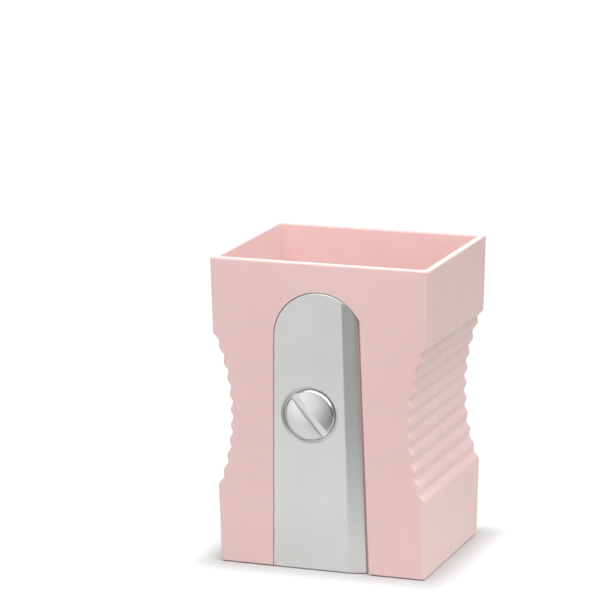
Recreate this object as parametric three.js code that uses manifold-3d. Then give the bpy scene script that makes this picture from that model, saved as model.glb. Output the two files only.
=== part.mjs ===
// A desk cup for pencils, shaped like a giant wedge sharpener, in millimetres with +Z up.
// Two moulded half shells meet on a seam at mid depth and close round a floor plate. A bevelled metal
// plate fills a recess in the leaning front face, and one slotted screw with a push-on nut holds it.
// The front looks along -Y. The origin is under the middle of the cup, on the surface it stands on.

import * as THREE from 'three';
import { mergeVertices } from 'three/addons/utils/BufferGeometryUtils.js';
import Module from 'manifold-3d';

const wasm = await Module();
wasm.setup();

// Cup
const WIDTH = 75;              // across the rim, along X
const DEPTH = 62.6;            // across the rim, along Y
const HEIGHT = 103.4;
const LEAN = 2.1;              // each outer wall comes in by this much from the rim down to the table
const WALL = 2.4;
const FLOOR_THICK = 2.8;
const FOOT_PROUD = 0.3;        // the cup's underside clears the table by this much
const GAP = 0.3;               // clearance between pieces that meet

// Ribbed finger waist on the two sides
const WAIST_Z = 52.4;
const WAIST_INSET = 6.15;      // depth of the grooves at mid height
const WAIST_RADIUS = 68;       // of the arc that the grooves follow
const WAIST_WALL = 2;          // behind the grooves
const RIB_COUNT = 9;
const RIB_PITCH = 5.2;
const RIB_HEIGHT = 0.85;
const RIB_STEPS = 8;           // facets of one rib
const INNER_STEPS = 12;        // facets of the waist seen from inside
const LEDGE_REACH = 25.6;      // from the waist's middle to the corner of each plain block

// Seam between the half shells: a tongue on the rear one slides inside the front one
const SEAM_GAP = 0.2;
const TONGUE_REACH = 3;
const TONGUE_THICK = 1;
const TONGUE_TOP_DROP = 1.5;   // below the rim

// Plate, in the plane of the front face: x across, z up the face, and -y out of it.
// A round top, a left edge that flares out downwards, and a right edge that cuts the round top off.
const PLATE_THICK = 2;
const ARCH_X = -0.1;
const ARCH_Z = 78.2;
const ARCH_RADIUS = 15.45;
const LEFT_FLARE = 1.27;       // the left edge moves out by this much from the arch to the bottom
const RIGHT_X = 15.2;          // the right edge at the bottom
const RIGHT_LEAN = 0.0288;     // how far it comes in for each millimetre up
const RIGHT_GAP = 1.15;        // the recess is wider than the plate here
const CREASE_X = 9.58;         // where the bevel starts, at the bottom
const CREASE_LEAN = 0.0194;
const BEVEL_SLOPE = 0.226;     // drop of the bevel for each millimetre across
const RECESS_FLOOR = PLATE_THICK + GAP;
const BACKING = 1.6;           // wall behind the recess
const BACKING_MARGIN = 2;      // round the recess
const PEG_X = -0.75;
const PEG_RADIUS = 1.5;
const PEG_LENGTH = 1.2;
const PEG_HEIGHTS = [20, 82];

// Screw and nut
const SCREW_X = -3.5;
const SCREW_Z = 52.75;
const DOME_RADIUS = 8.05;
const DOME_EDGE = 0.2;         // the dome's edge stands out of the plate by this much
const HEAD_CROWN = 0.98;       // and its middle by this much
const HEAD_RADIUS = 8.55;      // where the flank round the dome ends
const FLANK_EDGE = -0.5;       // down in the well
const WELL_RADIUS = 9.3;       // round sinking in the plate that the head sits in
const WELL_DEPTH = 1.1;
const SLOT_WIDTH = 2.7;
const SLOT_DEPTH = 1.3;
const SLOT_ANGLE = 50;         // degrees down to the right
const SHANK_RADIUS = 2.4;
const SHANK_HOLE_RADIUS = 2.8;
const NUT_RADIUS = 5.5;
const NUT_THICK = 1;
const SHANK_TAIL = 0.6;        // past the nut

// Feet
const FOOT_RADIUS = 4.6;
const FOOT_THICK = 1.2;
const FOOT_INSET = 9.5;        // from the cup's lower edges to a foot's middle

const BIG = 200;               // longer than anything here, for cutting tools
const CLEAR = 5;               // how far a tool runs past what it cuts
const ROUND = 32;              // facets of a round piece
const ARCH_STEPS = 16;
const DOME_STEPS = 6;
const MERGE_WITHIN = 1e-4;     // vertices this close together are one
const leanAngle = Math.atan(LEAN / HEIGHT);

// ---- solids -------------------------------------------------------------------------------------

function solid(geometry) {
  const bare = geometry.clone();
  bare.deleteAttribute('normal');
  bare.deleteAttribute('uv');
  const merged = mergeVertices(bare, MERGE_WITHIN);
  return new wasm.Manifold(new wasm.Mesh({
    numProp: 3,
    vertProperties: new Float32Array(merged.attributes.position.array),
    triVerts: new Uint32Array(merged.index.array),
  }));
}

function geometryOf(body) {
  const mesh = body.getMesh();
  const geometry = new THREE.BufferGeometry();
  geometry.setAttribute('position', new THREE.BufferAttribute(mesh.vertProperties, 3));
  geometry.setIndex(new THREE.BufferAttribute(mesh.triVerts, 1));
  geometry.computeVertexNormals();
  return geometry;
}

function block(x0, x1, y0, y1, z0, z1) {
  const geometry = new THREE.BoxGeometry(x1 - x0, y1 - y0, z1 - z0);
  geometry.translate((x0 + x1) / 2, (y0 + y1) / 2, (z0 + z1) / 2);
  return geometry;
}

// An outline of [x, z] points, pulled along Y from y0 to y1.
function prism(outline, y0, y1) {
  const shape = new THREE.Shape(outline.map(([x, z]) => new THREE.Vector2(x, z)));
  const geometry = new THREE.ExtrudeGeometry(shape, { depth: y1 - y0, bevelEnabled: false });
  geometry.rotateX(Math.PI / 2);
  geometry.translate(0, y1, 0);
  return geometry;
}

// A profile of [radius, distance out of the face] points, turned about the face's normal.
function turned(profile, x, z) {
  const points = profile.map(([radius, out]) => new THREE.Vector2(radius, out));
  const geometry = new THREE.LatheGeometry(points, ROUND);
  geometry.rotateZ(Math.PI);
  geometry.translate(x, 0, z);
  return geometry;
}

function rod(radius, from, to, x, z) {
  return turned([[0, from], [radius, from], [radius, to], [0, to]], x, z);
}

// ---- the cup's own shape ------------------------------------------------------------------------

const halfWidth = (z) => WIDTH / 2 - LEAN * (1 - z / HEIGHT);
const halfDepth = (z) => DEPTH / 2 - LEAN * (1 - z / HEIGHT);
const waistLow = WAIST_Z - RIB_COUNT * RIB_PITCH / 2;
const waistHigh = WAIST_Z + RIB_COUNT * RIB_PITCH / 2;

function grooveInset(z) {
  const rise = z - WAIST_Z;
  return WAIST_INSET - WAIST_RADIUS + Math.sqrt(WAIST_RADIUS ** 2 - rise ** 2);
}

function ribbedInset(z) {
  const swell = (1 + Math.cos(2 * Math.PI * (z - WAIST_Z) / RIB_PITCH)) / 2;
  return grooveInset(z) - RIB_HEIGHT * swell;
}

function mirrored(side) {
  return [...side, ...side.map(([x, z]) => [-x, z]).reverse()];
}

// The cup seen from the front, ribs and all.
function outerOutline() {
  const side = [[halfWidth(FOOT_PROUD), FOOT_PROUD]];
  side.push([halfWidth(WAIST_Z - LEDGE_REACH), WAIST_Z - LEDGE_REACH]);
  const steps = RIB_COUNT * RIB_STEPS;
  for (let i = 0; i <= steps; i++) {
    const z = waistLow + (waistHigh - waistLow) * i / steps;
    side.push([halfWidth(z) - ribbedInset(z), z]);
  }
  side.push([halfWidth(WAIST_Z + LEDGE_REACH), WAIST_Z + LEDGE_REACH]);
  side.push([halfWidth(HEIGHT), HEIGHT]);
  return mirrored(side);
}

// The hollow seen from the front between two heights, moved out into the wall by grow.
function innerOutline(grow, low, high) {
  const turn = WALL * Math.tan(Math.PI / 8);
  const side = [[halfWidth(low) - WALL + grow, low]];
  const lowCorner = WAIST_Z - LEDGE_REACH - turn;
  side.push([halfWidth(lowCorner) - WALL + grow, lowCorner]);
  for (let i = 0; i <= INNER_STEPS; i++) {
    const z = waistLow + (waistHigh - waistLow) * i / INNER_STEPS;
    side.push([halfWidth(z) - grooveInset(z) - WAIST_WALL + grow, z]);
  }
  const highCorner = WAIST_Z + LEDGE_REACH + turn;
  side.push([halfWidth(highCorner) - WALL + grow, highCorner]);
  side.push([halfWidth(high) - WALL + grow, high]);
  return mirrored(side);
}

// A block whose front and back lean as the cup's do, thickness inside them. It starts out one
// millimetre deep each way, and each of its corners is moved out to the depth at its own height.
function leaningBlock(thickness, z0, z1) {
  const geometry = block(-BIG, BIG, -1, 1, z0, z1);
  const places = geometry.attributes.position;
  for (let i = 0; i < places.count; i++) {
    places.setY(i, places.getY(i) * (halfDepth(places.getZ(i)) - thickness));
  }
  return geometry;
}

// ---- the front face's own frame -----------------------------------------------------------------

const faceFrame = new THREE.Matrix4().makeRotationX(leanAngle);
faceFrame.setPosition(0, -halfDepth(0), 0);

function onFace(geometry) {
  return solid(geometry.clone().applyMatrix4(faceFrame));
}

// The plate's outline, moved out by grow on the left and top and by rightGrow on the right.
function archOutline(grow, rightGrow, bottom) {
  const radius = ARCH_RADIUS + grow;
  const leftFoot = ARCH_X - radius - LEFT_FLARE * (ARCH_Z - bottom) / ARCH_Z;
  const outline = [[leftFoot, bottom], [RIGHT_X + rightGrow - RIGHT_LEAN * bottom, bottom]];
  const tilt = Math.atan(RIGHT_LEAN);
  const reach = (RIGHT_X + rightGrow - RIGHT_LEAN * ARCH_Z - ARCH_X) * Math.cos(tilt);
  const corner = tilt + Math.acos(reach / radius);
  for (let i = 0; i <= ARCH_STEPS; i++) {
    const angle = corner + (Math.PI - corner) * i / ARCH_STEPS;
    outline.push([ARCH_X + radius * Math.cos(angle), ARCH_Z + radius * Math.sin(angle)]);
  }
  return outline;
}

const recessTool = () => prism(archOutline(GAP, RIGHT_GAP, -CLEAR), -BIG, RECESS_FLOOR);

// The thicker wall behind the recess, moved out by grow.
function backingShape(grow) {
  const margin = BACKING_MARGIN + grow;
  const outline = archOutline(GAP + margin, RIGHT_GAP + margin, -CLEAR);
  return prism(outline, WALL / 2, RECESS_FLOOR + BACKING + grow);
}

// ---- sub-parts ----------------------------------------------------------------------------------

// A prism of the outline whose front and back lean as the cup's do, thickness inside them.
function leaningPrism(outline, thickness) {
  const between = leaningBlock(thickness, -2 * CLEAR, HEIGHT + 2 * CLEAR);
  return solid(prism(outline, -BIG, BIG)).intersect(solid(between));
}

const cupBlock = () => leaningPrism(outerOutline(), 0);
const hollow = () => leaningPrism(innerOutline(0, -CLEAR, HEIGHT + CLEAR), WALL);

// What the seam's tongue fills, next to the hollow on both sides; the hollow is cut out of it later.
function tonguePlug(thickness, reach, low, high) {
  return solid(prism(innerOutline(thickness, low, high), -reach, SEAM_GAP));
}

function frontShell() {
  const half = cupBlock().intersect(solid(block(-BIG, BIG, -BIG, -SEAM_GAP / 2, -BIG, BIG)));
  const floorCut = solid(block(-BIG, BIG, -BIG, BIG, -BIG, FOOT_PROUD));
  const rebateHigh = HEIGHT - TONGUE_TOP_DROP + GAP;
  const rebate = tonguePlug(TONGUE_THICK + GAP, TONGUE_REACH + GAP, -CLEAR, rebateHigh);
  let shell = half.subtract(hollow()).subtract(rebate);
  shell = shell.add(onFace(backingShape(0)));
  shell = shell.subtract(floorCut).subtract(onFace(recessTool()));
  shell = shell.subtract(onFace(rod(SHANK_HOLE_RADIUS, -BIG, BIG, SCREW_X, SCREW_Z)));
  for (const height of PEG_HEIGHTS) {
    const hole = rod(PEG_RADIUS + GAP, -RECESS_FLOOR - PEG_LENGTH, 0, PEG_X, height);
    shell = shell.subtract(onFace(hole));
  }
  return shell;
}

function rearShell() {
  const half = cupBlock().intersect(solid(block(-BIG, BIG, SEAM_GAP / 2, BIG, -BIG, BIG)));
  const tongueLow = FOOT_PROUD + FLOOR_THICK + GAP;
  const plug = tonguePlug(TONGUE_THICK, TONGUE_REACH, tongueLow, HEIGHT - TONGUE_TOP_DROP);
  return half.add(plug).subtract(hollow());
}

const footPlaces = () => {
  const x = halfWidth(0) - FOOT_INSET;
  const y = halfDepth(0) - FOOT_INSET;
  return [
    ['foot_front_left', -x, -y],
    ['foot_front_right', x, -y],
    ['foot_rear_left', -x, y],
    ['foot_rear_right', x, y],
  ];
};

function disc(radius, low, high, x, y) {
  const geometry = new THREE.CylinderGeometry(radius, radius, high - low, ROUND);
  geometry.rotateX(Math.PI / 2);
  geometry.translate(x, y, (low + high) / 2);
  return geometry;
}

function floorPlate() {
  const heights = [FOOT_PROUD, FOOT_PROUD + FLOOR_THICK];
  const side = heights.map((z) => [halfWidth(z) - WALL - GAP, z]);
  let plate = leaningPrism(mirrored(side), WALL + GAP);
  plate = plate.subtract(onFace(backingShape(GAP)));
  for (const [, x, y] of footPlaces()) {
    plate = plate.subtract(solid(disc(FOOT_RADIUS + GAP, -CLEAR, FOOT_THICK + GAP, x, y)));
  }
  return plate;
}

// The bevel's cutting tool: a wedge from the crease out past the right edge, leaning as the crease does.
function bevelTool() {
  const reach = RIGHT_X;
  const shape = new THREE.Shape([
    new THREE.Vector2(0, -CLEAR),
    new THREE.Vector2(reach, -CLEAR),
    new THREE.Vector2(reach, reach * BEVEL_SLOPE),
    new THREE.Vector2(0, 0),
  ]);
  const geometry = new THREE.ExtrudeGeometry(shape, { depth: 2 * BIG, bevelEnabled: false });
  geometry.translate(0, 0, -BIG);
  geometry.rotateY(-Math.atan(CREASE_LEAN));
  geometry.translate(CREASE_X, 0, 0);
  return geometry;
}

function bladePlate() {
  const bottom = FOOT_PROUD / Math.cos(leanAngle);
  let plate = solid(prism(archOutline(0, 0, bottom), 0, PLATE_THICK));
  plate = plate.subtract(solid(bevelTool()));
  plate = plate.subtract(solid(rod(WELL_RADIUS, -WELL_DEPTH, BIG, SCREW_X, SCREW_Z)));
  plate = plate.subtract(solid(rod(SHANK_HOLE_RADIUS, -BIG, BIG, SCREW_X, SCREW_Z)));
  for (const height of PEG_HEIGHTS) {
    const peg = rod(PEG_RADIUS, -PLATE_THICK - PEG_LENGTH, -PLATE_THICK / 2, PEG_X, height);
    plate = plate.add(solid(peg));
  }
  return plate;
}

const nutFront = RECESS_FLOOR + BACKING + GAP;

function slottedScrew() {
  const underside = GAP - WELL_DEPTH;
  const tail = -nutFront - NUT_THICK - SHANK_TAIL;
  const profile = [[0, tail], [SHANK_RADIUS, tail], [SHANK_RADIUS, underside], [HEAD_RADIUS, underside]];
  profile.push([HEAD_RADIUS, FLANK_EDGE]);
  for (let i = 0; i <= DOME_STEPS; i++) {
    const share = 1 - i / DOME_STEPS;
    profile.push([DOME_RADIUS * share, DOME_EDGE + (HEAD_CROWN - DOME_EDGE) * (1 - share ** 2)]);
  }
  const slot = block(-BIG, BIG, -BIG, SLOT_DEPTH - HEAD_CROWN, -SLOT_WIDTH / 2, SLOT_WIDTH / 2);
  slot.rotateY(SLOT_ANGLE * Math.PI / 180);
  slot.translate(SCREW_X, 0, SCREW_Z);
  return solid(turned(profile, SCREW_X, SCREW_Z)).subtract(solid(slot));
}

function pushNut() {
  const bore = SHANK_RADIUS + GAP / 2;
  const ring = [
    [bore, -nutFront - NUT_THICK],
    [NUT_RADIUS, -nutFront - NUT_THICK],
    [NUT_RADIUS, -nutFront],
    [bore, -nutFront],
    [bore, -nutFront - NUT_THICK],
  ];
  return solid(turned(ring, SCREW_X, SCREW_Z));
}

// ---- assembly -----------------------------------------------------------------------------------

const pinkPlastic = () => new THREE.MeshStandardMaterial({ color: 0xe6c3c1, roughness: 0.5, metalness: 0 });
const satinMetal = () => new THREE.MeshStandardMaterial({ color: 0xcbcbc9, roughness: 0.42, metalness: 0.7 });
const brightMetal = () => new THREE.MeshStandardMaterial({ color: 0xd8d8d6, roughness: 0.18, metalness: 1 });
const softRubber = () => new THREE.MeshStandardMaterial({ color: 0xdcdad6, roughness: 0.9, metalness: 0 });

function named(name, body, material) {
  const mesh = new THREE.Mesh(geometryOf(body), material);
  mesh.name = name;
  return mesh;
}

const cup = new THREE.Group();
cup.add(named('front_shell', frontShell(), pinkPlastic()));
cup.add(named('rear_shell', rearShell(), pinkPlastic()));
cup.add(named('floor_plate', floorPlate(), pinkPlastic()));

const face = new THREE.Group();
face.applyMatrix4(faceFrame);
face.add(named('blade_plate', bladePlate(), satinMetal()));
face.add(named('slotted_screw', slottedScrew(), brightMetal()));
face.add(named('push_nut', pushNut(), brightMetal()));
cup.add(face);

for (const [name, x, y] of footPlaces()) {
  cup.add(named(name, solid(disc(FOOT_RADIUS, 0, FOOT_THICK, x, y)), softRubber()));
}

export default cup;
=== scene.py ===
"""Looks of a pale pink pencil cup shaped like a wedge sharpener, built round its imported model.

Everything is in metres in the model's frame: +Z up, -Y out of the front with its plate and screw.
"""

import math

import bmesh
import bpy
from mathutils import Matrix, Vector


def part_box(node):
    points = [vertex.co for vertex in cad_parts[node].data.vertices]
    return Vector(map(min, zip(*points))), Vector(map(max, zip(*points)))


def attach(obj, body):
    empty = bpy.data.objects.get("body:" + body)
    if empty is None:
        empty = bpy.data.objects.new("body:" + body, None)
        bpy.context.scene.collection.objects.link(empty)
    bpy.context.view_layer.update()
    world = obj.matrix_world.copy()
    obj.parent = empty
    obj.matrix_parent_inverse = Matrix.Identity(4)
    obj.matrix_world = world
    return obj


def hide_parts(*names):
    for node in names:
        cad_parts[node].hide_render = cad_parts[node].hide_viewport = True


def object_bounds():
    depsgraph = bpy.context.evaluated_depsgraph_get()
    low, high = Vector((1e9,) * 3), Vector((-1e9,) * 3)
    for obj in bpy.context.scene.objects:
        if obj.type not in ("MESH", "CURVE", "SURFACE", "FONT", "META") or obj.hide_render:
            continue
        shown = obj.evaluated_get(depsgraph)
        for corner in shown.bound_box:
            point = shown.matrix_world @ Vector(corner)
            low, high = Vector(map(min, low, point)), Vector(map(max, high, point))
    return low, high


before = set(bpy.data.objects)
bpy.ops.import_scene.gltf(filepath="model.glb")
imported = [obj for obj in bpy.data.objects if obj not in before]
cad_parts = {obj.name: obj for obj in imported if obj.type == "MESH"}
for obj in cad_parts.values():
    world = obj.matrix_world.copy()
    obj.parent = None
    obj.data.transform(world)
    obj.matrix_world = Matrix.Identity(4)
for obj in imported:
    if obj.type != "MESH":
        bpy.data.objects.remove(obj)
CAD_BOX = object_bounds()

MM = 0.001

# ---- sizes: the overall ones come from the frame, and most others repeat the model's own --------

WIDTH = CAD_BOX[1].x - CAD_BOX[0].x
DEPTH = CAD_BOX[1].y - CAD_BOX[0].y
HEIGHT = CAD_BOX[1].z
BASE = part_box("front_shell")[0].z        # the cup's underside, just clear of the table

LEAN = 2.1 * MM                          # each outer wall comes in by this much down to the table
WALL = 2.4 * MM
WAIST_WALL = 2.0 * MM
WAIST_Z = 52.4 * MM
WAIST_INSET = 6.15 * MM
WAIST_RADIUS = 68 * MM
RIB_COUNT = 9
RIB_PITCH = 5.2 * MM
RIB_HEIGHT = 0.95 * MM                   # a little more than the solids' ribs
RIB_FULLNESS = 0.85                      # under 1 makes the crests broad and the grooves tight
RIB_EASE = 0.45 * MM                     # the ribs' corners are rounded over this much up and down
INNER_EASE = 1.2 * MM
LEDGE_REACH = 25.6 * MM                  # from the waist's middle to the corner of each plain block
OUTER_CORNER = 0.9 * MM                  # radius of the upright edges
INNER_CORNER = 1.2 * MM
RIM_ROUND = 0.55 * MM
BASE_ROUND = 0.4 * MM
SEAM_HALF = 0.02 * MM                    # half of the hairline between the shells
SEAM_GROOVE = 0.14 * MM                  # size of the small chamfer along the seam
SUPPORT = 0.35 * MM                      # distance of the rows that hold a rounded edge's shading
QUARTER_STEPS = 6                        # of a small rounded edge

PLATE_THICK = 2.0 * MM
ARCH_X = -0.1 * MM
ARCH_Z = 78.2 * MM
ARCH_RADIUS = 15.45 * MM
LEFT_FLARE = 1.27 * MM                   # the left edge moves out by this much down to the bottom
RIGHT_X = 15.2 * MM                      # the right edge at the bottom
RIGHT_LEAN = 0.0288                      # how far it comes in for each metre up
RIGHT_GAP = 1.15 * MM                    # the recess is wider than the plate on this side
CREASE_X = 9.58 * MM                     # where the bevel starts, at the bottom
CREASE_LEAN = 0.0194
BEVEL_SLOPE = 0.226                      # drop of the bevel for each metre across
CREASE_EASE = 0.3 * MM
CREASE_LINES = (-CREASE_EASE, -CREASE_EASE / 3, CREASE_EASE / 3, CREASE_EASE)
ARC_STEPS = (8, 1, 1, 1, 48)             # from the right corner to each crease line, then on to the left
PLATE_STEPS = 24                         # points along each of its straight edges
PLATE_GAP = 0.3 * MM                     # clearance between pieces that meet
LEFT_GAP = 0.2 * MM                      # left of the plate and round its top, less than the solids keep
PLATE_ROUND = 0.3 * MM                   # the upper edge draws in by this much on the left and top
RIGHT_ROUND = 0.95 * MM
PLATE_ROUND_DEPTH = 0.32 * MM
RECESS_FLOOR = 2.3 * MM
RECESS_BOTTOM = -5 * MM                  # runs out of the wall's underside
RECESS_ROUND = 0.22 * MM
BACKING_REACH = 3.9 * MM                 # its inner side, behind the front face
BACKING_MARGIN = 2.0 * MM                # round the recess
BACKING_ROUND = 0.8 * MM
BACKING_BOTTOM = 1.2 * MM
PEG_X = -0.75 * MM
PEG_RADIUS = 1.5 * MM
PEG_LENGTH = 1.2 * MM
PEG_SUNK = 0.2 * MM                      # runs into the plate by this much
PEG_CHAMFER = 0.3 * MM
PEG_HEIGHTS = (20 * MM, 82 * MM)

SCREW_X = -3.5 * MM
SCREW_Z = 52.75 * MM
WELL_RADIUS = 9.3 * MM
WELL_DEPTH = 1.1 * MM
LIP_WIDE = 0.6 * MM                      # the well's bevelled lip
LIP_DROP = 0.24 * MM
LIP_EASE = 0.12 * MM
DOME_RADIUS = 8.05 * MM
DOME_EDGE = 0.2 * MM                     # out of the plate's face
HEAD_CROWN = 0.98 * MM
FLANK_RADIUS = 8.55 * MM                 # where the flank round the dome ends
FLANK_EDGE = -0.5 * MM
FLANK_EASE = 0.16 * MM
HEAD_UNDERSIDE = -0.8 * MM
SLOT_WIDTH = 2.7 * MM
SLOT_DEPTH = 1.3 * MM
SLOT_ANGLE = math.radians(50)
SHANK_RADIUS = 2.4 * MM
SHANK_HOLE = 2.8 * MM
SHANK_TAIL = -5.8 * MM
SHANK_CHAMFER = 0.4 * MM
NUT_BORE = SHANK_RADIUS + 0.05 * MM      # closer to the shank than the solid ring
NUT_COLLAR = NUT_BORE + 1.2 * MM         # where the ring's dish starts
NUT_OUTER = 5.5 * MM
NUT_FRONT = -4.2 * MM
NUT_BACK = -5.2 * MM
NUT_DISH = 0.35 * MM
NUT_RIM = 0.25 * MM
NUT_BITE = 0.1 * MM                      # how far the inner edge bends out of the ring at its back
NUT_STEP = 0.2 * MM
FOOT_EASE = 0.3 * MM
PANEL_EASE = 0.25 * MM                   # rounded edge of the cup's floor
PANEL_TURN = 0.07 * MM                   # and its middle point

TABLE_FAR = 6.0                          # how far the table runs to the left and to the rear
TABLE_AHEAD = 85 * MM                    # how far it runs in front of the cup, and to its right
TABLE_RIGHT = 180 * MM
TABLE_ALBEDO = 0.68
TABLE_WHITE = 1.04                       # strength of the painted white glow that the camera sees beyond the shadow
PAINTED_SHADOW_REACH = 13 * MM                   # the painted glow fades out towards the cup over this distance, so the shadow that the camera sees is painted shade over the table's real shading
WORLD_EVEN = 0.09
WORLD_PATCHES = (                        # azimuth, elevation, wide, full (degrees) and strength
    (-22, -5, 30, 8, 0.66),              # low ahead, mirrored by the plate
    (-50, 5, 50, 15, 0.46),
    (97, 42, 36, 12, 1.95),              # high on the right, for the ribs
    (195, 12, 48, 15, 1.1),              # low behind
)
SOFTBOXES = (                            # name, azimuth, elevation, distance, size and watts
    ("softbox_right", 38, 44, 0.65, 0.6, 2.4),
    ("softbox_behind", -160, 30, 0.9, 0.9, 2.2),
    ("softbox_left", -25, 60, 0.30, 0.18, 0.37),
)

PINK_COLOURS = ((0.87, 0.62, 0.605), (0.895, 0.644, 0.629))
SATIN_COLOURS = ((0.765, 0.77, 0.755), (0.80, 0.805, 0.79))
NICKEL_COLOURS = ((0.75, 0.755, 0.74), (0.80, 0.805, 0.79))
ZINC_COLOURS = ((0.48, 0.48, 0.46), (0.58, 0.58, 0.56))
RUBBER_COLOURS = ((0.62, 0.60, 0.57), (0.70, 0.68, 0.65))
FEET = ("foot_front_left", "foot_front_right", "foot_rear_left", "foot_rear_right")

BIG = 200 * MM
LEAN_ANGLE = math.atan(LEAN / HEIGHT)


# ---- the cup's outline --------------------------------------------------------------------------

def half_width(z):
    """From the middle to the plain side wall's outer face."""
    return WIDTH / 2 - LEAN * (1 - z / HEIGHT)


def half_depth(z):
    return DEPTH / 2 - LEAN * (1 - z / HEIGHT)


def groove_inset(z):
    """How far the grooves of the ribs lie inside the plain wall."""
    rise = z - WAIST_Z
    return WAIST_INSET - WAIST_RADIUS + math.sqrt(WAIST_RADIUS ** 2 - rise ** 2)


def sharp_inset(z):
    """How far the ribbed side lies inside the plain wall, before its corners are rounded."""
    away = abs(z - WAIST_Z)
    waist_half = RIB_COUNT * RIB_PITCH / 2
    if away >= LEDGE_REACH:
        return 0.0
    if away > waist_half:
        return groove_inset(WAIST_Z + waist_half) * (LEDGE_REACH - away) / (LEDGE_REACH - waist_half)
    swell = (1 + math.cos(2 * math.pi * (z - WAIST_Z) / RIB_PITCH)) / 2
    return groove_inset(z) - RIB_HEIGHT * swell ** RIB_FULLNESS


def outer_inset(z):
    """The ribbed side with its corners rounded, as the mean of a few heights close by."""
    shares = (-1, -0.75, -0.5, -0.25, 0, 0.25, 0.5, 0.75, 1)
    return sum(sharp_inset(z + RIB_EASE * s) for s in shares) / len(shares)


def inner_inset(z):
    """The hollow follows the waist without the ribs, a wall's thickness inside."""
    def plain(height):
        away = abs(height - WAIST_Z)
        waist_half = RIB_COUNT * RIB_PITCH / 2
        turn = WALL * math.tan(math.pi / 8)
        thin = WAIST_WALL - WALL
        if away >= LEDGE_REACH + turn:
            return 0.0
        if away > waist_half:
            share = (LEDGE_REACH + turn - away) / (LEDGE_REACH + turn - waist_half)
            return (groove_inset(WAIST_Z + waist_half) + thin) * share
        return groove_inset(height) + thin
    shares = (-1, -0.5, 0, 0.5, 1)
    return sum(plain(z + INNER_EASE * s) for s in shares) / len(shares)


def eased(radius, into):
    """How far a quarter-round edge has drawn in, at this distance from where it ends."""
    if into >= radius:
        return 0.0
    return radius - math.sqrt(radius ** 2 - (radius - into) ** 2)


def quarter_turn():
    return [math.pi / 2 * i / QUARTER_STEPS for i in range(QUARTER_STEPS + 1)]


def row_heights():
    """The loft's rows: fine on the ribs and the rounded rims, sparse on the plain blocks."""
    rows = [BASE + BASE_ROUND * (1 - math.cos(turn)) for turn in quarter_turn()]
    rows.append(rows[-1] + SUPPORT)
    fine_low = WAIST_Z - LEDGE_REACH - 2 * MM
    fine_high = WAIST_Z + LEDGE_REACH + 2 * MM
    plain = 4
    rows += [rows[-1] + (fine_low - rows[-1]) * i / plain for i in range(1, plain)]
    fine = round((fine_high - fine_low) / (RIB_PITCH / 16))
    rows += [fine_low + (fine_high - fine_low) * i / fine for i in range(fine + 1)]
    top = HEIGHT - RIM_ROUND
    last = rows[-1]
    rows += [last + (top - SUPPORT - last) * i / plain for i in range(1, plain + 1)]
    rows += [top + RIM_ROUND * math.sin(turn) for turn in quarter_turn()]
    return rows


def half_path(a, b, corner, groove):
    """From the right seam round the front to the left seam: (x, y) points, y towards the front."""
    start = SEAM_HALF + SEAM_GROOVE + SUPPORT
    side = [(a - groove, -SEAM_HALF), (a, -SEAM_HALF - SEAM_GROOVE), (a, -start)]
    stop = b - corner - SUPPORT
    along = 5
    side += [(a, -(start + (stop - start) * i / along)) for i in range(1, along + 1)]
    turn = 8
    for i in range(turn + 1):
        angle = math.pi / 2 * i / turn
        side.append((a - corner + corner * math.cos(angle), -(b - corner + corner * math.sin(angle))))
    flat = a - corner - SUPPORT
    across = 7
    side += [(flat - flat * i / across, -b) for i in range(across + 1)]
    return side + [(-x, y) for x, y in reversed(side[:-1])]


def ring_at(z):
    """One closed loop of a half shell's wall at this height: outer path, then the inner path back."""
    base_ease = eased(BASE_ROUND, z - BASE)
    rim_ease = eased(RIM_ROUND, HEIGHT - z)
    out = base_ease + rim_ease
    outer = half_path(half_width(z) - outer_inset(z) - out, half_depth(z) - out,
                      OUTER_CORNER - out, SEAM_GROOVE)
    inner = half_path(half_width(z) - inner_inset(z) - WALL + rim_ease, half_depth(z) - WALL + rim_ease,
                      INNER_CORNER + rim_ease, 0.0)
    return outer, inner


# ---- mesh tools ---------------------------------------------------------------------------------

def to_object(name, bm):
    bmesh.ops.recalc_face_normals(bm, faces=bm.faces[:])
    mesh = bpy.data.meshes.new(name)
    bm.to_mesh(mesh)
    bm.free()
    obj = bpy.data.objects.new(name, mesh)
    bpy.context.scene.collection.objects.link(obj)
    return obj


def skin(bm, rings):
    """The sides through rings of equally many points, and one flat cap on the first ring."""
    loops = [[bm.verts.new(p) for p in ring] for ring in rings]
    count = len(rings[0])
    for low, high in zip(loops, loops[1:]):
        for i in range(count):
            j = (i + 1) % count
            bm.faces.new((low[i], low[j], high[j], high[i]))
    bm.faces.new(loops[0])
    return loops


def stack(name, rings):
    """A closed solid through rings of equally many points, capped flat at both ends."""
    bm = bmesh.new()
    bm.faces.new(skin(bm, rings)[-1])
    return to_object(name, bm)


def round_ring(centre, radius, z, segments=64):
    turns = [2 * math.pi * i / segments for i in range(segments)]
    return [(centre.x + radius * math.cos(t), centre.y + radius * math.sin(t), z) for t in turns]


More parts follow.
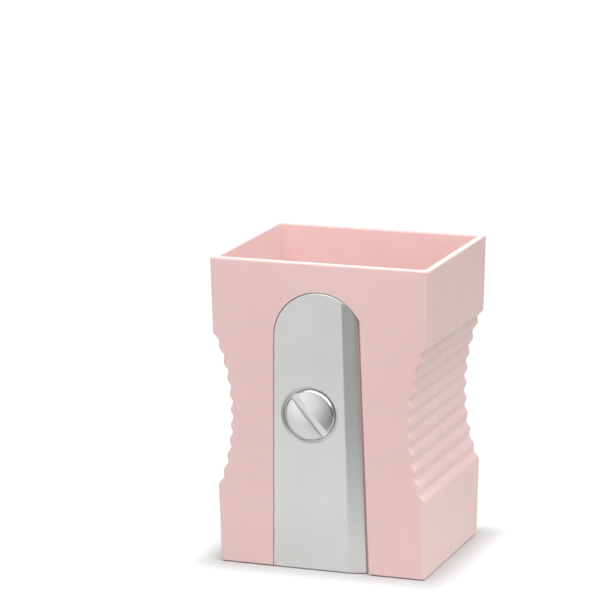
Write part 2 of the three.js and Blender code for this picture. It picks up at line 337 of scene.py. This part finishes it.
def turned(name, profile, segments=128):
    """A profile of (radius, distance out of the face) points turned about the screw's axis.

    A profile that neither starts nor ends on the axis is closed into a ring.
    """
    bm = bmesh.new()
    loops = []
    for radius, out in profile:
        if radius < 1e-9:
            loops.append([bm.verts.new((SCREW_X, -out, SCREW_Z))])
            continue
        loop = []
        for i in range(segments):
            angle = 2 * math.pi * i / segments
            loop.append(bm.verts.new((SCREW_X + radius * math.cos(angle), -out,
                                      SCREW_Z + radius * math.sin(angle))))
        loops.append(loop)
    for a, b in zip(loops, loops[1:]):
        for i in range(segments):
            j = (i + 1) % segments
            if len(a) == 1:
                bm.faces.new((a[0], b[j], b[i]))
            elif len(b) == 1:
                bm.faces.new((a[i], a[j], b[0]))
            else:
                bm.faces.new((a[i], a[j], b[j], b[i]))
    if len(loops[0]) > 1 and len(loops[-1]) > 1:
        for i in range(segments):
            j = (i + 1) % segments
            bm.faces.new((loops[-1][i], loops[-1][j], loops[0][j], loops[0][i]))
    return to_object(name, bm)


FACE_FRAME = Matrix.Translation((0, -half_depth(0), 0)) @ Matrix.Rotation(LEAN_ANGLE, 4, "X")


def onto_face(obj):
    """Moves a mesh from the front face's own frame into the cup's frame."""
    obj.data.transform(FACE_FRAME)
    return obj


def combine(obj, tool, operation):
    """Joins or cuts obj with tool, applies it and removes the tool."""
    modifier = obj.modifiers.new(operation, "BOOLEAN")
    modifier.operation = operation
    modifier.solver = "EXACT"
    modifier.object = tool
    made = bpy.data.meshes.new_from_object(obj.evaluated_get(bpy.context.evaluated_depsgraph_get()))
    obj.modifiers.clear()
    obj.data = made
    bpy.data.objects.remove(tool)


def polish(obj, angle=32):
    """Smooth shading that stays flat on flat faces and sharp on sharp edges."""
    obj.data.polygons.foreach_set("use_smooth", [True] * len(obj.data.polygons))
    obj.data.set_sharp_from_angle(angle=math.radians(angle))
    weighted = obj.modifiers.new("even_shading", "WEIGHTED_NORMAL")
    weighted.keep_sharp = True
    return obj


# ---- the shells ---------------------------------------------------------------------------------

def half_shell(name, side):
    """side is 1 for the front half and -1 for the rear one."""
    bm = bmesh.new()
    outers, inners = [], []
    for z in row_heights():
        outer, inner = ring_at(z)
        outers.append([bm.verts.new((x, y * side, z)) for x, y in outer])
        inners.append([bm.verts.new((x, y * side, z)) for x, y in inner])
    count = len(outers[0])
    for k in range(len(outers) - 1):
        for i in range(count - 1):
            bm.faces.new((outers[k][i], outers[k][i + 1], outers[k + 1][i + 1], outers[k + 1][i]))
            bm.faces.new((inners[k][i], inners[k][i + 1], inners[k + 1][i + 1], inners[k + 1][i]))
        for i in (0, count - 1):
            bm.faces.new((outers[k][i], inners[k][i], inners[k + 1][i], outers[k + 1][i]))
    for k in (0, len(outers) - 1):
        for i in range(count - 1):
            bm.faces.new((outers[k][i], outers[k][i + 1], inners[k][i + 1], inners[k][i]))
    return to_object(name, bm)


def arc_angle(radius, line_x, line_lean):
    """Where the round top meets the upright line that passes line_x at the bottom and leans in upwards."""
    tilt = math.atan(line_lean)
    reach = (line_x - line_lean * ARCH_Z - ARCH_X) * math.cos(tilt)
    return tilt + math.acos(reach / radius)


def arch_outline(grow, right_grow, bottom):
    """The plate's outline as (x, z), moved out on the left and top by grow and on the right by right_grow.

    It starts at the lower right corner and has a point wherever a line of the crease crosses it.
    """
    radius = ARCH_RADIUS + grow
    corner = arc_angle(radius, RIGHT_X + right_grow, RIGHT_LEAN)
    top_z = ARCH_Z + radius * math.sin(corner)
    points = []
    for i in range(PLATE_STEPS):
        z = bottom + (top_z - bottom) * i / PLATE_STEPS
        points.append((RIGHT_X + right_grow - RIGHT_LEAN * z, z))
    lines = [CREASE_X + u for u in reversed(CREASE_LINES)]
    turns = [corner] + [arc_angle(radius, x, CREASE_LEAN) for x in lines] + [math.pi]
    for first, last, steps in zip(turns, turns[1:], ARC_STEPS):
        for i in range(steps):
            angle = first + (last - first) * i / steps
            points.append((ARCH_X + radius * math.cos(angle), ARCH_Z + radius * math.sin(angle)))
    for i in range(PLATE_STEPS + 1):
        z = ARCH_Z + (bottom - ARCH_Z) * i / PLATE_STEPS
        points.append((ARCH_X - radius - LEFT_FLARE * (ARCH_Z - z) / ARCH_Z, z))
    points += [(CREASE_X + u - CREASE_LEAN * bottom, bottom) for u in CREASE_LINES]
    return points


def bevel_depth(x, z):
    """Depth of the bevelled surface behind the face, with a small arc along the crease."""
    past = x - (CREASE_X - CREASE_LEAN * z)
    if past <= -CREASE_EASE:
        return 0.0
    if past < CREASE_EASE:
        return BEVEL_SLOPE * (past + CREASE_EASE) ** 2 / (4 * CREASE_EASE)
    return BEVEL_SLOPE * past


def at_depth(outline, depth):
    return [(x, depth, z) for x, z in outline]


def recess_tool():
    """The plate's recess, with a rounded edge on the face."""
    def ring(flare, depth):
        outline = arch_outline(LEFT_GAP + flare, RIGHT_GAP + flare, RECESS_BOTTOM)
        return at_depth(outline, depth)
    above = -1 * MM
    rings = [ring(RECESS_ROUND * 1.6, above)]
    for turn in quarter_turn():
        rings.append(ring(RECESS_ROUND * (1 - math.sin(turn)), RECESS_ROUND * (1 - math.cos(turn))))
    rings.append(ring(0, RECESS_FLOOR))
    return onto_face(stack("recess_tool", rings))


def backing():
    """The thicker wall behind the recess, with a rounded edge inside the cup."""
    def ring(shrink, depth):
        margin = BACKING_MARGIN - shrink
        outline = arch_outline(PLATE_GAP + margin, RIGHT_GAP + margin, BACKING_BOTTOM)
        return at_depth(outline, depth)
    rings = [ring(0, WALL / 2)]
    for turn in quarter_turn():
        rings.append(ring(BACKING_ROUND * (1 - math.cos(turn)),
                          BACKING_REACH - BACKING_ROUND * (1 - math.sin(turn))))
    return onto_face(stack("backing", rings))


def shank_hole_tool():
    profile = [(0, -BIG), (SHANK_HOLE, -BIG), (SHANK_HOLE, BIG), (0, BIG)]
    return turned("hole_tool", profile, segments=48)


def front_shell():
    """The front half with its backing, the plate's recess and the screw's hole."""
    shell = half_shell("front_shell_moulding", 1)
    combine(shell, backing(), "UNION")
    combine(shell, recess_tool(), "DIFFERENCE")
    combine(shell, onto_face(shank_hole_tool()), "DIFFERENCE")
    return polish(shell)


def rear_shell():
    return polish(half_shell("rear_shell_moulding", -1))


# ---- plate, screw, nut, feet --------------------------------------------------------------------

def soft_corner(before, corner, after, steps=4):
    """Points of a smooth turn at a corner of a profile, from one point to another through it."""
    points = []
    for i in range(steps + 1):
        t = i / steps
        shares = ((1 - t) ** 2, 2 * t * (1 - t), t ** 2)
        points.append(tuple(sum(s * p[k] for s, p in zip(shares, (before, corner, after))) for k in (0, 1)))
    return points


def well_tool():
    """The round sinking that the screw's head sits in, with a bevelled lip."""
    ease = LIP_EASE
    above = 1 * MM
    slope = LIP_DROP / LIP_WIDE
    rim = WELL_RADIUS + LIP_WIDE
    profile = [(0, -WELL_DEPTH), (WELL_RADIUS, -WELL_DEPTH)]
    profile += soft_corner((WELL_RADIUS, -LIP_DROP - ease), (WELL_RADIUS, -LIP_DROP),
                           (WELL_RADIUS + ease, -LIP_DROP + ease * slope))
    profile += soft_corner((rim - ease, -ease * slope), (rim, 0), (rim + ease, 0.002 * MM))
    profile += [(rim + ease, above), (0, above)]
    return turned("well_tool", profile)


def blade_plate():
    """The plate with its bevel, rounded along the whole upper edge, and the screw's well."""
    bottom = BASE / math.cos(LEAN_ANGLE)
    bm = bmesh.new()
    rings = [at_depth(arch_outline(0, 0, bottom), PLATE_THICK)]
    for turn in quarter_turn():
        inward = 1 - math.cos(turn)
        depth = PLATE_ROUND_DEPTH * (1 - math.sin(turn))
        outline = arch_outline(-PLATE_ROUND * inward, -RIGHT_ROUND * inward,
                               bottom + PLATE_ROUND * inward / 2)
        rings.append([(x, depth + bevel_depth(x, z), z) for x, z in outline])
    cap_plate(bm, skin(bm, rings)[-1])
    plate = to_object("bevelled_plate", bm)
    combine(plate, well_tool(), "DIFFERENCE")
    combine(plate, shank_hole_tool(), "DIFFERENCE")
    return polish(onto_face(plate), angle=20)


def cap_plate(bm, loop):
    """Fills the upper side with one flat face, the bevel and the narrow strips of the crease between."""
    def past_crease(vert):
        return vert.co.x - (CREASE_X - CREASE_LEAN * vert.co.z)
    tiny = 0.001 * MM
    edges = [-math.inf] + list(CREASE_LINES) + [math.inf]
    for low, high in zip(edges, edges[1:]):
        bm.faces.new([v for v in loop if low - tiny <= past_crease(v) <= high + tiny])


def plate_peg(index):
    """A locating peg on the plate's back, which reaches into the backing."""
    segments = 32
    height = PEG_HEIGHTS[index]
    tip = PLATE_THICK + PEG_LENGTH
    rings = []
    for radius, y in ((PEG_RADIUS, PLATE_THICK - PEG_SUNK), (PEG_RADIUS, tip - PEG_CHAMFER),
                      (PEG_RADIUS - PEG_CHAMFER, tip)):
        ring = []
        for i in range(segments):
            angle = 2 * math.pi * i / segments
            ring.append((PEG_X + radius * math.cos(angle), y, height + radius * math.sin(angle)))
        rings.append(ring)
    return polish(onto_face(stack(f"plate_peg_{index + 1}", rings)))


def slot_tool():
    """The screwdriver slot's cutter: a bar laid across the head."""
    half = SLOT_WIDTH / 2
    floor = SLOT_DEPTH - HEAD_CROWN
    profile = [(-half, floor), (half, floor), (half, -2 * HEAD_CROWN), (-half, -2 * HEAD_CROWN)]
    rings = [[(x, y, z) for x, y in profile] for z in (-BIG, BIG)]
    tool = stack("slot_tool", rings)
    tool.data.transform(Matrix.Translation((SCREW_X, 0, SCREW_Z))
                        @ Matrix.Rotation(SLOT_ANGLE - math.pi / 2, 4, "Y"))
    return tool


def dome_height(radius):
    """The dome's height out of the face at this distance from the screw's axis."""
    return HEAD_CROWN - (HEAD_CROWN - DOME_EDGE) * (radius / DOME_RADIUS) ** 2


def slotted_screw():
    """A domed head with a sloping flank round it, and the shank behind."""
    ease = FLANK_EASE
    profile = [(0, SHANK_TAIL), (SHANK_RADIUS - SHANK_CHAMFER, SHANK_TAIL)]
    profile += [(SHANK_RADIUS, SHANK_TAIL + SHANK_CHAMFER)]
    profile += [(SHANK_RADIUS, HEAD_UNDERSIDE), (FLANK_RADIUS - ease, HEAD_UNDERSIDE)]
    profile += [(FLANK_RADIUS, HEAD_UNDERSIDE + ease), (FLANK_RADIUS, FLANK_EDGE)]
    slope = (DOME_EDGE - FLANK_EDGE) / (FLANK_RADIUS - DOME_RADIUS)
    top = DOME_RADIUS - ease
    profile += soft_corner((DOME_RADIUS + ease, DOME_EDGE - slope * ease), (DOME_RADIUS, DOME_EDGE),
                           (top, dome_height(top)))
    dome = 24
    profile += [(top * (1 - i / dome), dome_height(top * (1 - i / dome))) for i in range(1, dome + 1)]
    screw = turned("domed_slotted_screw", profile)
    combine(screw, slot_tool(), "DIFFERENCE")
    return polish(onto_face(screw), angle=28)


def push_nut():
    """A thin dished ring that grips the shank."""
    edge = NUT_OUTER - NUT_RIM
    profile = [(NUT_BORE, NUT_BACK + NUT_BITE), (NUT_COLLAR, NUT_BACK), (edge, NUT_BACK + NUT_DISH)]
    profile += [(NUT_OUTER, NUT_BACK + NUT_DISH + NUT_RIM), (NUT_OUTER, NUT_FRONT - NUT_RIM)]
    profile += [(edge, NUT_FRONT), (NUT_COLLAR, NUT_FRONT - NUT_STEP)]
    profile += [(NUT_BORE, NUT_FRONT - 2 * NUT_STEP)]
    return polish(onto_face(turned("push_on_nut", profile, segments=96)))


def foot(node):
    """A round rubber pad with an eased lower edge, in the place of one CAD foot."""
    low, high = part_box(node)
    centre = (low + high) / 2
    radius = (high.x - low.x) / 2
    turn = 0.3 * FOOT_EASE
    profile = [(radius, high.z), (radius, low.z + FOOT_EASE), (radius - turn, low.z + turn),
               (radius - FOOT_EASE, low.z)]
    return polish(stack(node + "_pad", [round_ring(centre, r, z) for r, z in profile]))


def floor_panel():
    """The floor between the shells, with eased edges and a pocket for each foot."""
    low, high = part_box("floor_plate")
    steps = ((PANEL_EASE, low.z), (PANEL_TURN, low.z + PANEL_TURN), (0, low.z + PANEL_EASE),
             (0, high.z - PANEL_EASE), (PANEL_TURN, high.z - PANEL_TURN), (PANEL_EASE, high.z))
    notch_left = ARCH_RADIUS + LEFT_FLARE - ARCH_X + PLATE_GAP * 2 + BACKING_MARGIN
    notch_right = RIGHT_X + RIGHT_GAP + PLATE_GAP + BACKING_MARGIN
    rings = []
    for shrink, z in steps:
        x = half_width(z) - WALL - PLATE_GAP - shrink
        y = half_depth(z) - WALL - PLATE_GAP - shrink
        inner = half_depth(z) - BACKING_REACH - PLATE_GAP - shrink
        left, right = -notch_left - shrink, notch_right + shrink
        rings.append([(left, -inner, z), (right, -inner, z), (right, -y, z), (x, -y, z),
                      (x, y, z), (-x, y, z), (-x, -y, z), (left, -y, z)])
    panel = stack("floor_panel", rings)
    for node in FEET:
        foot_low, foot_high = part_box(node)
        centre = (foot_low + foot_high) / 2
        radius = (foot_high.x - foot_low.x) / 2 + PLATE_GAP
        below = -1 * MM
        pocket = [round_ring(centre, radius, z) for z in (below, foot_high.z + PLATE_GAP)]
        combine(panel, stack("pocket_tool", pocket), "DIFFERENCE")
    return polish(panel)


# ---- materials ----------------------------------------------------------------------------------

class Nodes:
    """A material's node tree with short ways to add and link nodes."""

    def __init__(self, name):
        self.material = bpy.data.materials.new(name)
        self.material.use_nodes = True
        self.tree = self.material.node_tree
        self.shader = self.tree.nodes["Principled BSDF"]
        self.place = self.tree.nodes.new("ShaderNodeTexCoord").outputs["Object"]

    def link(self, source, target):
        self.tree.links.new(source, target)

    def noise(self, scale, detail):
        node = self.tree.nodes.new("ShaderNodeTexNoise")
        node.inputs["Scale"].default_value = scale
        node.inputs["Detail"].default_value = detail
        self.link(self.place, node.inputs["Vector"])
        return node.outputs["Fac"]

    def spread(self, value, low, high):
        """Maps the middle of a noise to the range low to high."""
        node = self.tree.nodes.new("ShaderNodeMapRange")
        node.inputs["From Min"].default_value = 0.3
        node.inputs["From Max"].default_value = 0.7
        node.inputs["To Min"].default_value = low
        node.inputs["To Max"].default_value = high
        self.link(value, node.inputs["Value"])
        return node.outputs["Result"]

    def mottle(self, value, colours):
        """Makes the base colour drift between two close colours."""
        node = self.tree.nodes.new("ShaderNodeMix")
        node.data_type = "RGBA"
        node.inputs["A"].default_value = (*colours[0], 1)
        node.inputs["B"].default_value = (*colours[1], 1)
        self.link(self.spread(value, 0, 1), node.inputs["Factor"])
        self.link(node.outputs["Result"], self.shader.inputs["Base Color"])

    def gloss(self, value, low, high):
        """Makes the roughness drift between two values."""
        self.link(self.spread(value, low, high), self.shader.inputs["Roughness"])

    def bump(self, value, distance, below=None):
        node = self.tree.nodes.new("ShaderNodeBump")
        node.inputs["Strength"].default_value = 1.0
        node.inputs["Distance"].default_value = distance
        self.link(value, node.inputs["Height"])
        if below is not None:
            self.link(below, node.inputs["Normal"])
        return node.outputs["Normal"]


def pink_plastic():
    n = Nodes("moulded_pink_plastic")
    n.mottle(n.noise(45, 2), PINK_COLOURS)
    n.gloss(n.noise(160, 4), 0.30, 0.38)
    ripple = n.bump(n.noise(110, 2), 0.012 * MM)
    n.link(n.bump(n.noise(2600, 2), 0.0035 * MM, ripple), n.shader.inputs["Normal"])
    n.shader.inputs["Subsurface Weight"].default_value = 0.4
    n.shader.inputs["Subsurface Radius"].default_value = (1.0, 0.55, 0.5)
    n.shader.inputs["Subsurface Scale"].default_value = 1.2 * MM
    n.shader.inputs["IOR"].default_value = 1.5
    n.shader.inputs["Sheen Weight"].default_value = 0.35
    n.shader.inputs["Sheen Roughness"].default_value = 0.4
    return n.material


def satin_metal():
    n = Nodes("satin_silver")
    n.mottle(n.noise(70, 3), SATIN_COLOURS)
    n.gloss(n.noise(240, 4), 0.34, 0.40)
    n.link(n.bump(n.noise(1900, 2), 0.002 * MM), n.shader.inputs["Normal"])
    n.shader.inputs["Metallic"].default_value = 0.8
    return n.material


def bright_metal():
    n = Nodes("polished_nickel")
    n.mottle(n.noise(120, 3), NICKEL_COLOURS)
    n.gloss(n.noise(420, 4), 0.25, 0.27)
    n.link(n.bump(n.noise(600, 3), 0.0006 * MM), n.shader.inputs["Normal"])
    n.shader.inputs["Metallic"].default_value = 1.0
    return n.material


def zinc_steel():
    n = Nodes("zinc_plated_steel")
    n.mottle(n.noise(350, 3), ZINC_COLOURS)
    n.gloss(n.noise(500, 4), 0.3, 0.42)
    n.link(n.bump(n.noise(900, 3), 0.004 * MM), n.shader.inputs["Normal"])
    n.shader.inputs["Metallic"].default_value = 1.0
    return n.material


def foot_rubber():
    n = Nodes("pale_rubber")
    n.mottle(n.noise(300, 3), RUBBER_COLOURS)
    n.gloss(n.noise(700, 3), 0.7, 0.85)
    n.link(n.bump(n.noise(1500, 3), 0.01 * MM), n.shader.inputs["Normal"])
    return n.material


# ---- stage --------------------------------------------------------------------------------------

def vector_step(tree, operation, first, second=None):
    node = tree.nodes.new("ShaderNodeVectorMath")
    node.operation = operation
    tree.links.new(first, node.inputs[0])
    if second is not None:
        node.inputs[1].default_value = second
    return node.outputs["Value" if operation == "LENGTH" else "Vector"]


def distance_from_cup(tree):
    """How far a point of the table lies outside the cup's foot."""
    place = tree.nodes.new("ShaderNodeTexCoord").outputs["Object"]
    mirrored = vector_step(tree, "ABSOLUTE", place)
    past = vector_step(tree, "SUBTRACT", mirrored, (half_width(0), half_depth(0), 0))
    return vector_step(tree, "LENGTH", vector_step(tree, "MAXIMUM", past, (0, 0, 0)))


def table_material():
    """Matt white with a painted white glow that only the camera sees; the glow fades out close round the
    cup, so the shadow seen there is painted shade over real shading.
    """
    material = bpy.data.materials.new("table_white")
    material.use_nodes = True
    tree = material.node_tree
    shader = tree.nodes["Principled BSDF"]
    shader.inputs["Base Color"].default_value = (TABLE_ALBEDO, TABLE_ALBEDO, TABLE_ALBEDO, 1)
    shader.inputs["Roughness"].default_value = 0.75
    shader.inputs["Specular IOR Level"].default_value = 0.15
    painted_glow = tree.nodes.new("ShaderNodeEmission")
    painted_glow.inputs["Color"].default_value = (1, 1, 1, 1)
    painted_glow.inputs["Strength"].default_value = TABLE_WHITE
    # painted shade: the camera's white glow fades in with the distance from the cup's foot
    share = tree.nodes.new("ShaderNodeMapRange")
    share.interpolation_type = "SMOOTHSTEP"
    share.inputs["From Max"].default_value = PAINTED_SHADOW_REACH
    seen = tree.nodes.new("ShaderNodeMath")
    seen.operation = "MULTIPLY"
    mix = tree.nodes.new("ShaderNodeMixShader")
    tree.links.new(distance_from_cup(tree), share.inputs["Value"])
    tree.links.new(share.outputs["Result"], seen.inputs[0])
    tree.links.new(tree.nodes.new("ShaderNodeLightPath").outputs["Is Camera Ray"], seen.inputs[1])
    tree.links.new(seen.outputs["Value"], mix.inputs["Fac"])
    tree.links.new(shader.outputs["BSDF"], mix.inputs[1])
    tree.links.new(painted_glow.outputs["Emission"], mix.inputs[2])
    tree.links.new(mix.outputs["Shader"], tree.nodes["Material Output"].inputs["Surface"])
    return material


def make_floor():
    """A plain pale table that ends near the cup in front and on the right, for the metal to mirror."""
    near = -DEPTH / 2 - TABLE_AHEAD
    right = WIDTH / 2 + TABLE_RIGHT
    bm = bmesh.new()
    outline = ((-TABLE_FAR, near, 0), (right, near, 0), (right, TABLE_FAR, 0), (-TABLE_FAR, TABLE_FAR, 0))
    bm.faces.new([bm.verts.new(p) for p in outline])
    table = to_object("table", bm)
    table.data.materials.append(table_material())


def bright_patch(tree, place, azimuth, elevation, wide, full, strength):
    """World light that fades in round one direction, from wide degrees off it to full degrees off it."""
    dot = tree.nodes.new("ShaderNodeVectorMath")
    dot.operation = "DOT_PRODUCT"
    dot.inputs[1].default_value = direction(azimuth, elevation)
    shade = tree.nodes.new("ShaderNodeMapRange")
    shade.interpolation_type = "SMOOTHSTEP"
    shade.inputs["From Min"].default_value = math.cos(math.radians(wide))
    shade.inputs["From Max"].default_value = math.cos(math.radians(full))
    shade.inputs["To Max"].default_value = strength
    tree.links.new(place, dot.inputs[0])
    tree.links.new(dot.outputs["Value"], shade.inputs["Value"])
    return shade.outputs["Result"]


def make_world():
    """A dim even studio with soft white reflectors, plain white where the camera sees it."""
    world = bpy.data.worlds.new("studio")
    bpy.context.scene.world = world
    world.use_nodes = True
    tree = world.node_tree
    place = tree.nodes.new("ShaderNodeTexCoord").outputs["Generated"]
    total = None
    for patch in WORLD_PATCHES:
        light = bright_patch(tree, place, *patch)
        add = tree.nodes.new("ShaderNodeMath")
        add.operation = "ADD"
        add.inputs[0].default_value = WORLD_EVEN
        if total is not None:
            tree.links.new(total, add.inputs[0])
        tree.links.new(light, add.inputs[1])
        total = add.outputs["Value"]
    background = tree.nodes["Background"]
    background.inputs["Color"].default_value = (1, 1, 1, 1)
    tree.links.new(total, background.inputs["Strength"])
    seen = tree.nodes.new("ShaderNodeBackground")
    seen.inputs["Color"].default_value = (1, 1, 1, 1)
    rays = tree.nodes.new("ShaderNodeLightPath")
    mix = tree.nodes.new("ShaderNodeMixShader")
    tree.links.new(rays.outputs["Is Camera Ray"], mix.inputs["Fac"])
    tree.links.new(background.outputs["Background"], mix.inputs[1])
    tree.links.new(seen.outputs["Background"], mix.inputs[2])
    tree.links.new(mix.outputs["Shader"], tree.nodes["World Output"].inputs["Surface"])


def direction(azimuth, elevation):
    """Out from the cup: azimuth 0 is ahead of the front, 90 is to the right."""
    a, e = math.radians(azimuth), math.radians(elevation)
    return Vector((math.sin(a) * math.cos(e), -math.cos(a) * math.cos(e), math.sin(e)))


def make_light(name, azimuth, elevation, distance, size, watts):
    """A square softbox that faces the middle of the cup and that the camera doesn't see."""
    data = bpy.data.lights.new(name, "AREA")
    data.shape = "SQUARE"
    data.size = size
    data.energy = watts
    light = bpy.data.objects.new(name, data)
    out = direction(azimuth, elevation)
    light.location = Vector((0, 0, HEIGHT / 2)) + out * distance
    light.rotation_euler = out.to_track_quat("Z", "Y").to_euler()
    light.visible_camera = False
    bpy.context.scene.collection.objects.link(light)


def make_camera():
    """The photograph's viewing angle, from 1.1 m off through a long lens aimed past the cup."""
    azimuth, elevation, roll = 20.10, 12.50, math.radians(-0.375)
    distance = 1.1380
    aim_right, aim_up = -0.01679, 0.03255
    back = direction(azimuth, elevation)
    level = Vector((math.cos(math.radians(azimuth)), math.sin(math.radians(azimuth)), 0))
    upright = back.cross(level)
    right = math.cos(roll) * level + math.sin(roll) * upright
    up = -math.sin(roll) * level + math.cos(roll) * upright
    data = bpy.data.cameras.new("camera")
    data.sensor_width = 36
    data.lens = 205.0
    data.clip_start, data.clip_end = 0.05, 30
    camera = bpy.data.objects.new("camera", data)
    turn = Matrix((right, up, back)).transposed().to_4x4()
    place = Vector((0, 0, HEIGHT / 2)) + back * distance + aim_right * right + aim_up * up
    camera.matrix_world = Matrix.Translation(place) @ turn
    bpy.context.scene.collection.objects.link(camera)
    bpy.context.scene.camera = camera


# ---- assembly -----------------------------------------------------------------------------------

def finish_piece(obj, material, body, slot, *nodes):
    obj.data.materials.clear()
    obj.data.materials.append(material)
    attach(obj, body)
    if nodes:
        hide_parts(*nodes)


make_camera()
make_world()
for softbox in SOFTBOXES:
    make_light(*softbox)
make_floor()
bpy.context.scene.view_settings.view_transform = "Standard"

PINK = pink_plastic()
SATIN = satin_metal()
finish_piece(front_shell(), PINK, "cup", "pink_plastic", "front_shell")
finish_piece(rear_shell(), PINK, "cup", "pink_plastic", "rear_shell")
finish_piece(floor_panel(), PINK, "cup", "pink_plastic", "floor_plate")
finish_piece(blade_plate(), SATIN, "cup", "satin_plate", "blade_plate")
for number in range(len(PEG_HEIGHTS)):
    finish_piece(plate_peg(number), SATIN, "cup", "satin_plate")
finish_piece(slotted_screw(), bright_metal(), "screw", "bright_screw", "slotted_screw")
finish_piece(push_nut(), zinc_steel(), "screw", "nut_steel", "push_nut")
RUBBER = foot_rubber()
for foot_node in FEET:
    finish_piece(foot(foot_node), RUBBER, "cup", "foot_rubber", foot_node)
